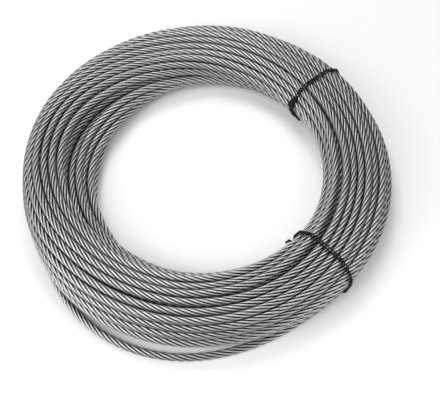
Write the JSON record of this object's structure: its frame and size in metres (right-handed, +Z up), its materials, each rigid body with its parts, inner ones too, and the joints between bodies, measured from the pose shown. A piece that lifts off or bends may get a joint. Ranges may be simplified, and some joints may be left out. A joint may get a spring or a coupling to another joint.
{
  "type": "coil of wire rope",
  "caption": "Steel wire rope wound in a flat round coil with an open eye, held by twisted wire ties; one outer turn has sprung loose and lies on the floor beside it.",
  "frame": {"origin": "middle of the floor area that the coil covers, at floor level", "axes": "+Z up, along the axis of the coil; the loose turn lies towards -Y and the two ties are on the +X half"},
  "size_m": [0.3966, 0.4047, 0.0551],
  "materials": {
    "galvanised_steel": "bright hot-dip zinc on fine drawn wires, semi-matt",
    "black_annealed_wire": "black oxide scale, dull"
  },
  "bodies": {
    "root": {"rope_coil": "galvanised_steel", "loose_turn": "galvanised_steel", "tie_wire_rear": "black_annealed_wire", "tie_wire_front": "black_annealed_wire"}
  },
  "joints": []
}
